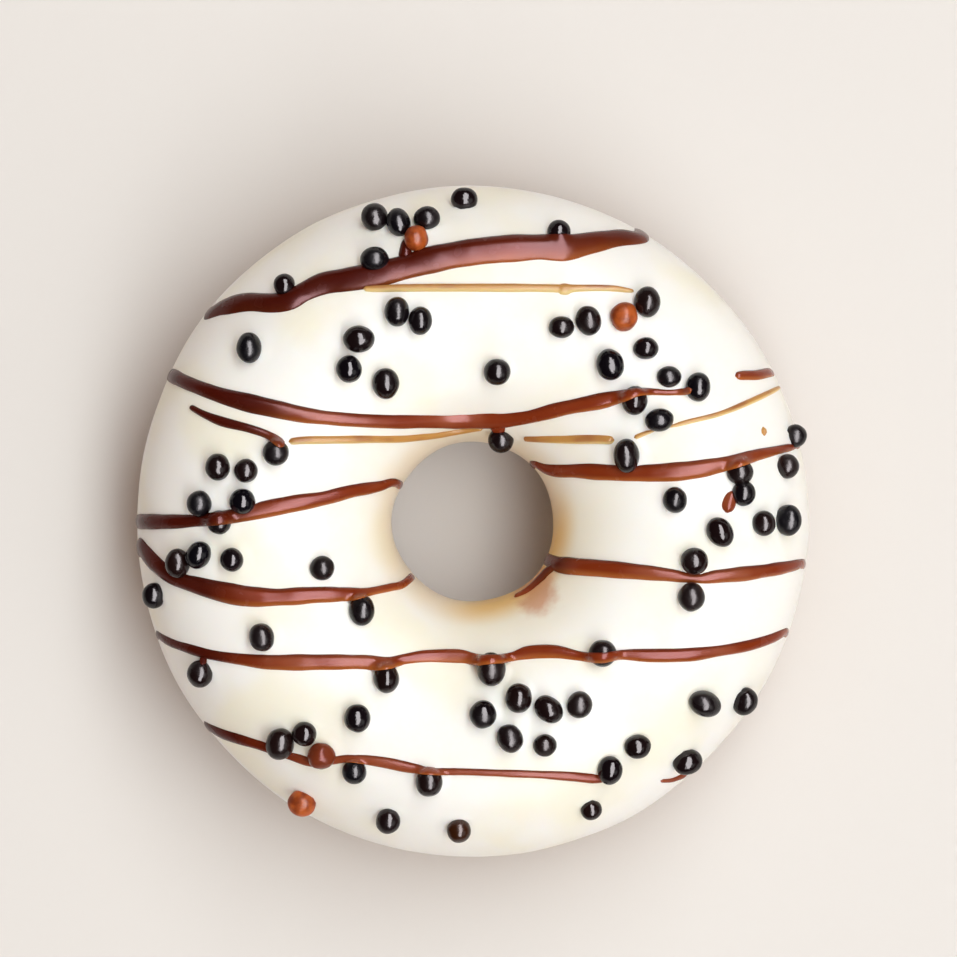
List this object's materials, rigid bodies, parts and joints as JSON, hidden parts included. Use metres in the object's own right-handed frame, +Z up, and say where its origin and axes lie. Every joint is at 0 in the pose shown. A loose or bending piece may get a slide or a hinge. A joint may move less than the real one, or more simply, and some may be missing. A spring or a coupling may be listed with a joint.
{
  "type": "sprinkle frosted doughnut",
  "caption": "Ring doughnut with white icing, chocolate and caramel drizzle and crisp chocolate pearls, lying flat with its iced side up.",
  "frame": {"origin": "centre of the ring on the surface it lies on, at the middle of the underside's bounding box", "axes": "+Z up through the hole, +Y towards the edge that the picture shows at the top, +X towards its right"},
  "size_m": [0.0911, 0.0897, 0.0338],
  "materials": {
    "dough": "fried yeast dough, golden brown with a pale band round its waist, dry and finely wrinkled",
    "icing": "set white-chocolate icing, smooth, softly glossy, a little translucent",
    "chocolate": "set milk-chocolate drizzle, glossy along its back",
    "caramel": "fine set caramel drizzle, golden, glossy and translucent",
    "dark_pearl": "crisp pearl in a dark chocolate shell, polished",
    "caramel_pearl": "crisp pearl in a caramel chocolate shell, polished"
  },
  "bodies": {
    "root": {"dough_ring": "dough", "white_icing": "icing"}
  },
  "joints": []
}
